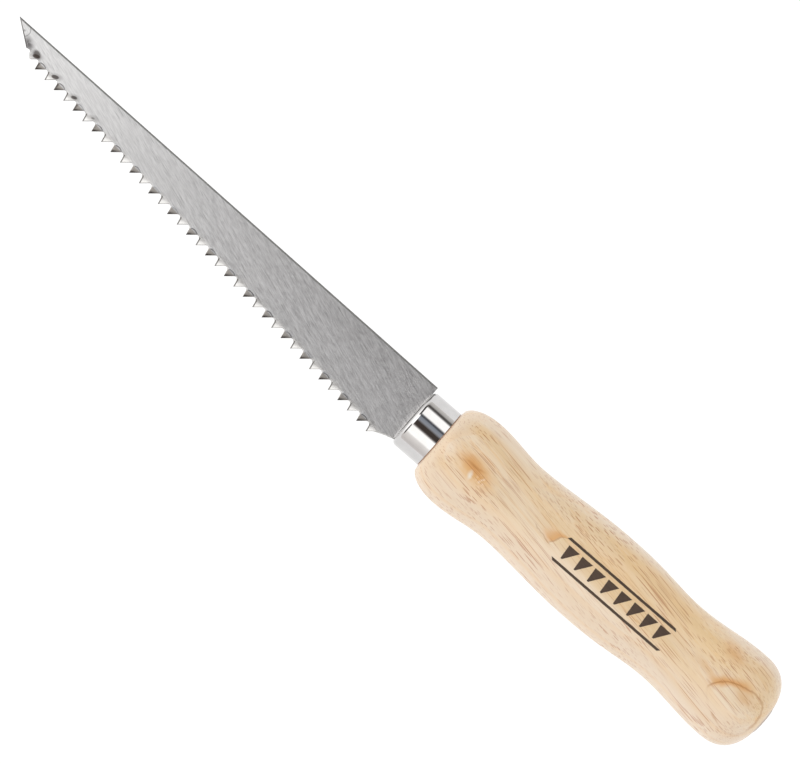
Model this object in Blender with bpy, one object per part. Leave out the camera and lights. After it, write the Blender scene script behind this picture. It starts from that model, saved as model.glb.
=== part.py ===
"""A wallboard jab saw: a toothed steel blade in a turned wooden handle.

The blade points along +X, its teeth face +Y and it lies flat, so its faces look along +Z.
The saw rests on its handle at z = 0, and the origin is under the middle of its box.
The blade's tang runs back through the ferrule into a slot in the handle, where resin
beds it, and a cross pin hidden under the ferrule keeps it from pulling out.
"""

import math

import bmesh
import bpy
from mathutils import Matrix, Vector

MM = 0.001
FIT_GAP = 0.3 * MM  # space between pieces that touch on the real saw

# Driving dimensions
BLADE_REACH = 152.4 * MM  # blade shown in front of the ferrule: 6 inches
FERRULE_LENGTH = 9.2 * MM
HANDLE_LENGTH = 117.0 * MM  # wood shown behind the ferrule
HANDLE_WIDTH = 28.2 * MM
HANDLE_DEPTH = 25.0 * MM  # the grip is a slight oval, thinner through the blade's faces

OVERALL_LENGTH = BLADE_REACH + FERRULE_LENGTH + HANDLE_LENGTH + 2 * FIT_GAP
TIP_X = OVERALL_LENGTH / 2
HEEL_X = TIP_X - BLADE_REACH
FERRULE_FRONT_X = HEEL_X - FIT_GAP
FERRULE_REAR_X = FERRULE_FRONT_X - FERRULE_LENGTH
SHOULDER_X = FERRULE_REAR_X - FIT_GAP
BUTT_X = -TIP_X
AXIS_Z = HANDLE_DEPTH / 2

# Blade
BLADE_THICK = 1.2 * MM
TIP_Y = -11.95 * MM
HEEL_BACK_Y = -10.35 * MM
HEEL_FRONT_Y = 8.1 * MM
POINT_ANGLE = math.radians(37.0)  # the sharpened front edge, from the blade's length
POINT_END_X = TIP_X - 7.0 * MM

# Teeth
TOOTH_COUNT = 37
TOOTH_PITCH = 3.82 * MM
TOOTH_LINE_ANGLE = math.radians(6.53)
LAST_TIP = Vector((-5.9 * MM, 11.5 * MM))  # the tip nearest the handle
STEEP_FLANK = math.radians(72.6)  # the side that cuts on the push stroke
SLACK_FLANK = math.radians(47.4)
GULLET_RADIUS = 0.85 * MM
GULLET_STEPS = 3
TOOTH_SET = 0.4 * MM  # how far each tip is bent out of the blade's plane, to either side
STUB_DROP = 0.8 * MM  # the tooth at the point is a stub, this much short of the tip line
LAST_BACK = 1.4 * MM  # run of the last tooth's slack flank, down to the ramp into the heel
RAMP_BREAK = 0.45  # where the hollow of that ramp lies, from the heel
RAMP_HOLLOW = 0.15 * MM

# Tang, cross pin and resin
TANG_WIDTH = 8.4 * MM
TANG_LENGTH = 62.0 * MM
TANG_TAPER = 0.8  # end width over root width
BARB_COUNT = 4
BARB_START = 20.0 * MM  # first barb, behind the heel
BARB_PITCH = 8.5 * MM
BARB_DEPTH = 0.7 * MM
BARB_RUN = 3.0 * MM  # each barb narrows over this and steps out again behind it
PIN_RADIUS = 1.5 * MM
PIN_X = FERRULE_FRONT_X - 4.8 * MM
RESIN_WALL = 0.6 * MM
RESIN_END_X = FERRULE_FRONT_X - TANG_LENGTH - FIT_GAP - RESIN_WALL

# Ferrule: a drawn steel cup
FERRULE_RADIUS = 9.12 * MM
FERRULE_WALL = 0.7 * MM
FERRULE_RIM_RADIUS = 1.2 * MM
NECK_RADIUS = FERRULE_RADIUS - FERRULE_WALL - FIT_GAP

# Handle outline: distance behind the shoulder and half width where it is widest or narrowest
SHOULDER_RADIUS = 9.15 * MM
GRIP_HALF = HANDLE_WIDTH / 2
GRIP_STATIONS = (
    (10.2 * MM, GRIP_HALF),
    (27.1 * MM, 12.5 * MM),
    (56.6 * MM, GRIP_HALF),
    (83.9 * MM, 12.42 * MM),
    (105.7 * MM, GRIP_HALF),
)
GRIP_SKEWS = (1.0, 0.9, 1.4, 1.0)  # over 1 keeps the half width of a stretch's start for longer
SHOULDER_POWER = 2.2
BUTT_POWER = 2.6
BUTT_FLAT_RADIUS = 4.0 * MM

ROUND_SIDES = 40
GRIP_RINGS = 34
CUT_OVER = 1.0 * MM  # how far a cutter passes the surface that it opens


def clear_scene():
    for item in list(bpy.data.objects):
        bpy.data.objects.remove(item, do_unlink=True)


def material(name, colour, roughness, metallic):
    mat = bpy.data.materials.new(name)
    mat.use_nodes = True
    shader = mat.node_tree.nodes["Principled BSDF"]
    shader.inputs["Base Color"].default_value = (*colour, 1.0)
    shader.inputs["Roughness"].default_value = roughness
    shader.inputs["Metallic"].default_value = metallic
    return mat


def object_from(bm, name, mat, parent):
    """Makes one object of a closed mesh, with its faces turned outwards."""
    bmesh.ops.remove_doubles(bm, verts=bm.verts, dist=0.001 * MM)
    bmesh.ops.recalc_face_normals(bm, faces=bm.faces)
    mesh = bpy.data.meshes.new(name)
    bm.to_mesh(mesh)
    bm.free()
    obj = bpy.data.objects.new(name, mesh)
    bpy.context.collection.objects.link(obj)
    obj.parent = parent
    if mat:
        mesh.materials.append(mat)
    return obj


def shade_round(obj):
    obj.data.shade_smooth()
    obj.data.set_sharp_from_angle(angle=math.radians(35))


def cut(obj, cutter):
    """Takes cutter out of obj with a live Boolean, and hides the cutter."""
    cutter.hide_render = True
    cutter.display_type = "WIRE"
    hole = obj.modifiers.new("cut_" + cutter.name, "BOOLEAN")
    hole.operation = "DIFFERENCE"
    hole.solver = "EXACT"
    hole.object = cutter


def block(name, low, high, parent):
    """A plain block between two corners, used as a cutter."""
    bm = bmesh.new()
    bmesh.ops.create_cube(bm, size=1.0)
    middle = (Vector(low) + Vector(high)) / 2
    size = Vector(high) - Vector(low)
    bmesh.ops.transform(bm, matrix=Matrix.Translation(middle) @ Matrix.Diagonal((*size, 1)), verts=bm.verts)
    return object_from(bm, name, None, parent)


def upright_rod(name, radius, length, mat, parent):
    """A rod along Z across the saw's axis, where the tang's pin goes."""
    bm = bmesh.new()
    bmesh.ops.create_cone(
        bm, cap_ends=True, segments=24, radius1=radius, radius2=radius, depth=length
    )
    bmesh.ops.translate(bm, vec=(PIN_X, 0, 0), verts=bm.verts)
    rod = object_from(bm, name, mat, parent)
    shade_round(rod)
    return rod


def turned(profile, squash, closed):
    """Turns (x, radius) points about the X axis. squash gives the depth over width at each x.
    An open profile starts and ends on flat discs."""
    bm = bmesh.new()
    rings = []
    for x, radius in profile:
        ring = []
        for step in range(ROUND_SIDES):
            turn = 2 * math.pi * step / ROUND_SIDES
            y = radius * math.cos(turn)
            z = radius * math.sin(turn) * squash(x)
            ring.append(bm.verts.new((x, y, z)))
        rings.append(ring)
    pairs = list(zip(rings, rings[1:]))
    if closed:
        pairs.append((rings[-1], rings[0]))
    else:
        bm.faces.new(rings[0])
        bm.faces.new(rings[-1])
    for near, far in pairs:
        for step in range(ROUND_SIDES):
            after = (step + 1) % ROUND_SIDES
            bm.faces.new((near[step], near[after], far[after], far[step]))
    return bm


# Blade outline, in the plane of the blade


def along_teeth(distance, height):
    """A point by its distance from the last tip towards the point, and height over the tip line."""
    along = Vector((math.cos(TOOTH_LINE_ANGLE), -math.sin(TOOTH_LINE_ANGLE)))
    out = Vector((math.sin(TOOTH_LINE_ANGLE), math.cos(TOOTH_LINE_ANGLE)))
    return LAST_TIP + along * distance + out * height


def gullet_corner():
    """Depth of the sharp corner where two flanks would meet, and its distance ahead of a tip."""
    depth = TOOTH_PITCH / (1 / math.tan(STEEP_FLANK) + 1 / math.tan(SLACK_FLANK))
    return depth, depth / math.tan(STEEP_FLANK)


def gullet(tip_distance):
    """Points of the rounded gullet ahead of a tip, from its steep flank to the next slack flank."""
    depth, ahead = gullet_corner()
    opening = math.pi - STEEP_FLANK - SLACK_FLANK
    lean = (STEEP_FLANK - SLACK_FLANK) / 2
    reach = GULLET_RADIUS / math.sin(opening / 2)
    centre = Vector((tip_distance + ahead + reach * math.sin(lean), -depth + reach * math.cos(lean)))
    start = 1.5 * math.pi - STEEP_FLANK
    sweep = math.pi - opening
    points = []
    for step in range(GULLET_STEPS + 1):
        turn = start + sweep * step / GULLET_STEPS
        points.append(along_teeth(
            centre.x + GULLET_RADIUS * math.cos(turn),
            centre.y + GULLET_RADIUS * math.sin(turn),
        ))
    return points


def tooth_edge():
    """The toothed edge from the heel to the point, as (point, side) pairs.
    side is +1 or -1 for a tip bent up or down, and 0 for every other point."""
    foot = along_teeth(-LAST_BACK, -LAST_BACK * math.tan(SLACK_FLANK))
    edge = [(foot, 0)]
    for index in range(TOOTH_COUNT):
        stub = index == TOOTH_COUNT - 1
        tip = along_teeth(index * TOOTH_PITCH, -STUB_DROP if stub else 0.0)
        edge.append((tip, 0 if stub else -((-1) ** index)))
        edge += [(point, 0) for point in gullet(index * TOOTH_PITCH)]
    return edge[:-1]


def point_edge():
    """The two ends of the sharpened edge: where the teeth begin, and the tip."""
    rise = (TIP_X - POINT_END_X) * math.tan(POINT_ANGLE)
    return Vector((POINT_END_X, TIP_Y + rise)), Vector((TIP_X, TIP_Y))


def tang_outline():
    """The tang from the heel's tooth side round to its back side. The step of each barb faces
    the blade's point, so the tang resists a pull."""
    end_x = FERRULE_FRONT_X - TANG_LENGTH
    half = TANG_WIDTH / 2

    def half_at(x):
        share = (HEEL_X - x) / (HEEL_X - end_x)
        return half * (1 - (1 - TANG_TAPER) * share)

    side = [(HEEL_X, half)]
    for index in range(BARB_COUNT):
        x = HEEL_X - BARB_START - index * BARB_PITCH
        side += [(x + BARB_RUN, half_at(x)), (x, half_at(x) - BARB_DEPTH), (x, half_at(x))]
    side += [(end_x + half / 2, half_at(end_x)), (end_x, half_at(end_x) / 2)]
    near = [Vector((x, y)) for x, y in side]
    far = [Vector((x, -y)) for x, y in reversed(side)]
    return near + far


def blade(parent):
    teeth = tooth_edge()
    foot = teeth[0][0]
    heel = Vector((HEEL_X, HEEL_FRONT_Y))
    ramp = heel + (foot - heel) * RAMP_BREAK - Vector((0, RAMP_HOLLOW))
    front, tip = point_edge()
    back_heel = Vector((HEEL_X, HEEL_BACK_Y))
    outline = [(heel, 0), (ramp, 0)] + teeth
    front_at = len(outline)
    outline += [(front, 0), (tip, 0), (back_heel, 0)]
    outline += [(point, 0) for point in reversed(tang_outline())]

    bm = bmesh.new()
    half = BLADE_THICK / 2
    upper, lower = [], []
    for point, side in outline:
        bend = side * TOOTH_SET
        upper.append(bm.verts.new((point.x, point.y, half + bend)))
        lower.append(bm.verts.new((point.x, point.y, -half + bend)))
    count = len(outline)
    for index in range(count):
        after = (index + 1) % count
        bm.faces.new((upper[index], upper[after], lower[after], lower[index]))
    tips = [index for index in range(count) if outline[index][1]]
    strip = [index for index in range(front_at + 1) if index not in tips]
    for skin in (upper, lower):
        for index in tips:
            bm.faces.new((skin[index - 1], skin[index], skin[index + 1]))
        bm.faces.new([skin[index] for index in strip])
        bm.faces.new((skin[-1], skin[0], *skin[front_at : front_at + 4]))
        bm.faces.new(skin[front_at + 3 :])

    steel = material("brushed_steel", (0.60, 0.59, 0.58), 0.38, 1.0)
    plate = object_from(bm, "blade", steel, parent)
    cutter = upright_rod("tang_hole_cutter", PIN_RADIUS + FIT_GAP, HANDLE_DEPTH, None, parent)
    cut(plate, cutter)
    return plate


def round_tang(room):
    """Half the width and half the height of a slot that leaves room round the tang."""
    return TANG_WIDTH / 2 + room, BLADE_THICK / 2 + room


def ferrule(parent):
    outer = FERRULE_RADIUS
    inner = FERRULE_RADIUS - FERRULE_WALL
    rim = FERRULE_RIM_RADIUS
    inner_rim = rim - FERRULE_WALL
    floor_x = FERRULE_FRONT_X - FERRULE_WALL
    centre_x = FERRULE_FRONT_X - rim
    rim_steps = 5
    profile = []
    for step in range(rim_steps + 1):
        turn = math.pi / 2 * step / rim_steps
        profile.append((centre_x + rim * math.cos(turn), outer - rim + rim * math.sin(turn)))
    profile += [(FERRULE_REAR_X, outer), (FERRULE_REAR_X, inner)]
    for step in (2, 1, 0):
        turn = math.pi / 2 * step / 2
        profile.append((centre_x + inner_rim * math.cos(turn), outer - rim + inner_rim * math.sin(turn)))
    bore = 0.4 * MM  # a pilot hole at the centre, lost in the tang slot
    profile += [(floor_x, bore), (FERRULE_FRONT_X, bore)]
    chrome = material("chrome", (0.86, 0.86, 0.86), 0.06, 1.0)
    cup = object_from(turned(profile, lambda x: 1.0, closed=True), "ferrule", chrome, parent)
    shade_round(cup)
    half_y, half_z = round_tang(FIT_GAP)
    low = (floor_x - CUT_OVER, -half_y, -half_z)
    high = (FERRULE_FRONT_X + CUT_OVER, half_y, half_z)
    cut(cup, block("ferrule_slot_cutter", low, high, parent))
    return cup


def grip_half_width(behind):
    """Half the handle's width at a distance behind its shoulder."""
    first, last = GRIP_STATIONS[0], GRIP_STATIONS[-1]
    length = SHOULDER_X - BUTT_X
    if behind <= first[0]:
        share = 1 - behind / first[0]
        swell = math.sqrt(1 - share**SHOULDER_POWER)
        return SHOULDER_RADIUS + (first[1] - SHOULDER_RADIUS) * swell
    if behind >= last[0]:
        share = min(1.0, (behind - last[0]) / (length - last[0]))
        return last[1] * (1 - share**BUTT_POWER) ** (1 / BUTT_POWER)
    for start, end, skew in zip(GRIP_STATIONS, GRIP_STATIONS[1:], GRIP_SKEWS):
        if behind <= end[0]:
            share = ((behind - start[0]) / (end[0] - start[0])) ** skew
            ease = (1 - math.cos(math.pi * share)) / 2
            return start[1] + (end[1] - start[1]) * ease
    return last[1]


def grip_squash(x):
    """Depth over width: round at the neck, and the oval's share from the front swell back."""
    behind = min(max(SHOULDER_X - x, 0.0), GRIP_STATIONS[0][0])
    swell = (grip_half_width(behind) - SHOULDER_RADIUS) / (GRIP_HALF - SHOULDER_RADIUS)
    return 1 - (1 - HANDLE_DEPTH / HANDLE_WIDTH) * swell


def handle_profile():
    """(x, half width) from the neck's front end back to the flat of the butt."""
    neck_front = FERRULE_FRONT_X - FERRULE_WALL - FIT_GAP
    chamfer = 0.8 * MM
    profile = [(neck_front, NECK_RADIUS - chamfer), (neck_front - chamfer, NECK_RADIUS)]
    profile.append((SHOULDER_X, NECK_RADIUS))
    swell_end, butt_start = GRIP_STATIONS[0][0], GRIP_STATIONS[-1][0]
    length = SHOULDER_X - BUTT_X
    swell_rings, butt_rings = 6, 8
    for step in range(swell_rings):
        behind = swell_end * (1 - math.cos(math.pi / 2 * step / swell_rings))
        profile.append((SHOULDER_X - behind, grip_half_width(behind)))
    middle_rings = GRIP_RINGS - swell_rings - butt_rings
    for step in range(middle_rings + 1):
        behind = swell_end + (butt_start - swell_end) * step / middle_rings
        profile.append((SHOULDER_X - behind, grip_half_width(behind)))
    for step in range(1, butt_rings):
        share = math.sin(math.pi / 2 * step / butt_rings)
        behind = butt_start + (length - butt_start) * share
        profile.append((SHOULDER_X - behind, grip_half_width(behind)))
    profile.append((BUTT_X, BUTT_FLAT_RADIUS))
    return profile


def handle(parent):
    wood = material("pale_hardwood", (0.80, 0.62, 0.42), 0.45, 0.0)
    grip = object_from(turned(handle_profile(), grip_squash, closed=False), "handle", wood, parent)
    shade_round(grip)
    half_y, half_z = round_tang(2 * FIT_GAP + RESIN_WALL)
    low = (RESIN_END_X - FIT_GAP, -half_y, -half_z)
    high = (HEEL_X, half_y, half_z)
    cut(grip, block("tang_slot_cutter", low, high, parent))
    cut(grip, upright_rod("neck_hole_cutter", PIN_RADIUS + FIT_GAP, HANDLE_DEPTH, None, parent))
    return grip


def tang_resin(parent):
    """The cured resin round the tang: a flat sleeve, closed behind the tang's end."""
    half_y, half_z = round_tang(FIT_GAP)
    front_x = FERRULE_FRONT_X - FERRULE_WALL - 2 * FIT_GAP
    low = (RESIN_END_X, -half_y - RESIN_WALL, -half_z - RESIN_WALL)
    high = (front_x, half_y + RESIN_WALL, half_z + RESIN_WALL)
    sleeve = block("tang_resin", low, high, parent)
    sleeve.data.materials.append(material("cured_resin", (0.62, 0.48, 0.26), 0.3, 0.0))
    low = (FERRULE_FRONT_X - TANG_LENGTH - FIT_GAP, -half_y, -half_z)
    high = (front_x + CUT_OVER, half_y, half_z)
    cut(sleeve, block("resin_bore_cutter", low, high, parent))
    cut(sleeve, upright_rod("resin_hole_cutter", PIN_RADIUS + FIT_GAP, HANDLE_DEPTH, None, parent))
    return sleeve


def tang_pin(parent):
    length = 2 * (NECK_RADIUS - FIT_GAP)
    steel = material("plain_steel", (0.55, 0.55, 0.56), 0.4, 1.0)
    return upright_rod("tang_pin", PIN_RADIUS, length, steel, parent)


def main():
    clear_scene()
    axis = bpy.data.objects.new("saw_axis", None)
    axis.location = (0, 0, AXIS_Z)
    bpy.context.collection.objects.link(axis)
    blade(axis)
    ferrule(axis)
    handle(axis)
    tang_resin(axis)
    tang_pin(axis)
    bpy.context.view_layer.update()


main()
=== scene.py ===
"""Looks for the wallboard jab saw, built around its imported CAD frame.

The saw lies along X with its point at +X, its teeth towards +Y and its faces along Z. The steel
blade, the chromed ferrule, the wooden grip and its printed pattern are fine meshes that stand for
the CAD solids. The resin and the pin inside keep their CAD shape and get materials.
"""

import math

import bmesh
import bpy
from mathutils import Matrix, Vector, noise


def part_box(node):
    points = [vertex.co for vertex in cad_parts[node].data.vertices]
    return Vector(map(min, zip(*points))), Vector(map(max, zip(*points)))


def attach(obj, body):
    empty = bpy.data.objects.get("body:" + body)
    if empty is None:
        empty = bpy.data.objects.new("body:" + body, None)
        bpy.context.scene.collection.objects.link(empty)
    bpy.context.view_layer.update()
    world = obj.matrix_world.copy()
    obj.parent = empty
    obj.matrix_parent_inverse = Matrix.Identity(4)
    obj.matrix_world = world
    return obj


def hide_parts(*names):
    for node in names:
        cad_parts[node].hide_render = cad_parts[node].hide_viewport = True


MM = 0.001
FIT_GAP = 0.3 * MM  # the space the CAD leaves between pieces that touch

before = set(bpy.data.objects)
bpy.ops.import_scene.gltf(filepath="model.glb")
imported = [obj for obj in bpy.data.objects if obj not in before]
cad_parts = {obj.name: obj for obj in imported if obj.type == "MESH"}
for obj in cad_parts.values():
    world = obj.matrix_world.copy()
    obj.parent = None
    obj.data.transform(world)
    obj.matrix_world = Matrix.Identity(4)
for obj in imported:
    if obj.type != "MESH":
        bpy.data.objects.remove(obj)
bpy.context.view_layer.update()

# Places read from the frame
TIP_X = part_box("blade")[1].x
TIP_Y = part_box("blade")[0].y
FERRULE_LOW, FERRULE_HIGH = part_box("ferrule")
HANDLE_LOW, HANDLE_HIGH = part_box("handle")
HEEL_X = FERRULE_HIGH.x + 0.02 * MM  # the heel sits against the ferrule
SHOULDER_X = FERRULE_LOW.x - FIT_GAP
BUTT_X = HANDLE_LOW.x
AXIS_Z = (HANDLE_LOW.z + HANDLE_HIGH.z) / 2

# Blade, as in the CAD
BLADE_HALF = 0.6 * MM
HEEL_BACK_Y = -10.35 * MM
HEEL_FRONT_Y = 8.1 * MM
POINT_ANGLE = math.radians(37.0)
POINT_LENGTH = 7.0 * MM
TOOTH_COUNT = 37
TOOTH_PITCH = 3.82 * MM
TOOTH_LINE_ANGLE = math.radians(6.53)
LAST_TIP = Vector((-5.9 * MM, 11.5 * MM))
STEEP_FLANK = math.radians(72.6)
SLACK_FLANK = math.radians(47.4)
GULLET_RADIUS = 0.85 * MM
LAST_BACK = 1.4 * MM
RAMP_BREAK = 0.45
RAMP_HOLLOW = 0.15 * MM
TANG_WIDTH = 8.4 * MM
TANG_LENGTH = 62.0 * MM
TANG_TAPER = 0.8
BARB_COUNT = 4
BARB_START = 20.0 * MM
BARB_PITCH = 8.5 * MM
BARB_DEPTH = 0.7 * MM
BARB_RUN = 3.0 * MM
PIN_HOLE_RADIUS = 1.8 * MM
PIN_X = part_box("tang_pin")[0].x + 1.5 * MM

# Finer shape of the blade
GULLET_STEPS = 8
FLANK_STEPS = 4
TOOTH_SET = 0.45 * MM
STUB_SET = 0.4  # the stub at the point is bent less than the teeth
BEND_MARGIN = 0.30 * MM  # the bend starts this far inside the gullets
BEND_ROUND = 0.20 * MM  # length over which it starts
STUB_CENTRE = Vector((-0.65 * MM, -1.45 * MM))  # of its rounded tip, from where a full tip would be
STUB_ROUND = 0.5 * MM
NOTCH_CENTRE = Vector((1.2 * MM, -1.95 * MM))  # of the notch between the stub and the point
NOTCH_RADIUS = 0.65 * MM
EDGE_ROUND = 0.06 * MM  # broken edge round the teeth and the heel
BACK_BEVEL = Vector((0.42 * MM, 0.30 * MM))  # width and depth of the worn bevel along the back
POINT_BEVEL = Vector((0.40 * MM, 0.34 * MM))
ROUND_SHARE = 0.3  # of its depth that a broken edge has dropped near its outer side
BEVEL_SHARE = 0.62  # the same for a bevel
RIM_MIDDLE = 0.7  # where that is, from the inner to the outer side
RIM_DULLNESS = 0.45  # how much of the cut edges' dullness reaches onto the faces beside them
POINT_STEPS = 30
FLAT_ROWS = (0.0, 0.12, 0.3, 0.5, 0.7, 0.88, 1.0)  # from the back to the teeth's roots
TOOTH_ROWS = tuple(step / 8 for step in range(1, 9))  # from the roots to the edge
ROOT_MARGIN = 0.7 * MM
TEETH_ALONG = Vector((math.cos(TOOTH_LINE_ANGLE), -math.sin(TOOTH_LINE_ANGLE)))
TEETH_OUT = Vector((math.sin(TOOTH_LINE_ANGLE), math.cos(TOOTH_LINE_ANGLE)))

# Ferrule, as in the CAD
FERRULE_RADIUS = FERRULE_HIGH.y
FERRULE_WALL = 0.7 * MM
FERRULE_RIM_RADIUS = 1.4 * MM
NECK_RADIUS = FERRULE_RADIUS - FERRULE_WALL - FIT_GAP

# Handle outline, as in the CAD
SHOULDER_RADIUS = 9.15 * MM
GRIP_HALF = HANDLE_HIGH.y
GRIP_STATIONS = (
    (10.2 * MM, GRIP_HALF),
    (27.1 * MM, 12.5 * MM),
    (56.6 * MM, GRIP_HALF),
    (83.9 * MM, 12.42 * MM),
    (105.7 * MM, GRIP_HALF),
)
GRIP_SKEWS = (1.0, 0.9, 1.4, 1.0)
SHOULDER_POWER = 2.2
BUTT_POWER = 2.6
BUTT_FLAT_RADIUS = 4.0 * MM
DEPTH_SHARE = (HANDLE_HIGH.z - HANDLE_LOW.z) / (HANDLE_HIGH.y - HANDLE_LOW.y)
SHOULDER_ROUND = 0.3 * MM

# Camera: straight above, turned so that the handle lies down to the right
CAMERA_HEIGHT = 1.2
CAMERA_AIM = Vector((-4.2 * MM, -4.8 * MM, AXIS_Z))
CAMERA_TURN = math.radians(41.04)
VIEW_WIDTH = 218.3 * MM
SENSOR_WIDTH = 36.0


# Mesh helpers


def piece_from(bm, name, mat, sharp=30.0):
    bmesh.ops.remove_doubles(bm, verts=bm.verts, dist=0.0005 * MM)
    bmesh.ops.recalc_face_normals(bm, faces=bm.faces)
    mesh = bpy.data.meshes.new(name)
    bm.to_mesh(mesh)
    bm.free()
    mesh.shade_smooth()
    mesh.set_sharp_from_angle(angle=math.radians(sharp))
    mesh.materials.append(mat)
    piece = bpy.data.objects.new(name, mesh)
    bpy.context.scene.collection.objects.link(piece)
    return piece


def cut(piece, cutter_mesh):
    """Takes a closed mesh out of the piece for good."""
    cutter = bpy.data.objects.new("cutter", cutter_mesh)
    bpy.context.scene.collection.objects.link(cutter)
    hole = piece.modifiers.new("hole", "BOOLEAN")
    hole.operation = "DIFFERENCE"
    hole.object = cutter
    apply_modifiers(piece)
    bpy.data.objects.remove(cutter, do_unlink=True)


def apply_modifiers(piece):
    graph = bpy.context.evaluated_depsgraph_get()
    made = bpy.data.meshes.new_from_object(piece.evaluated_get(graph))
    old = piece.data
    piece.modifiers.clear()
    piece.data = made
    bpy.data.meshes.remove(old)
    made.name = piece.name


def rod_mesh(radius, low_z, high_z, x):
    bm = bmesh.new()
    bmesh.ops.create_cone(
        bm, cap_ends=True, segments=48, radius1=radius, radius2=radius, depth=high_z - low_z
    )
    bmesh.ops.translate(bm, vec=(x, 0, (low_z + high_z) / 2), verts=bm.verts)
    return mesh_of(bm)


def block_mesh(low, high):
    bm = bmesh.new()
    bmesh.ops.create_cube(bm, size=1.0)
    middle = (Vector(low) + Vector(high)) / 2
    size = Vector(high) - Vector(low)
    place = Matrix.Translation(middle) @ Matrix.Diagonal((*size, 1))
    bmesh.ops.transform(bm, matrix=place, verts=bm.verts)
    return mesh_of(bm)


def mesh_of(bm):
    mesh = bpy.data.meshes.new("cutter")
    bm.to_mesh(mesh)
    bm.free()
    return mesh


def between(start, end, share):
    return start + (end - start) * share


# Material helpers

# Sockets of a Mix node that mixes colours
MIX_LOW, MIX_HIGH, MIX_RESULT = 6, 7, 2


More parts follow.
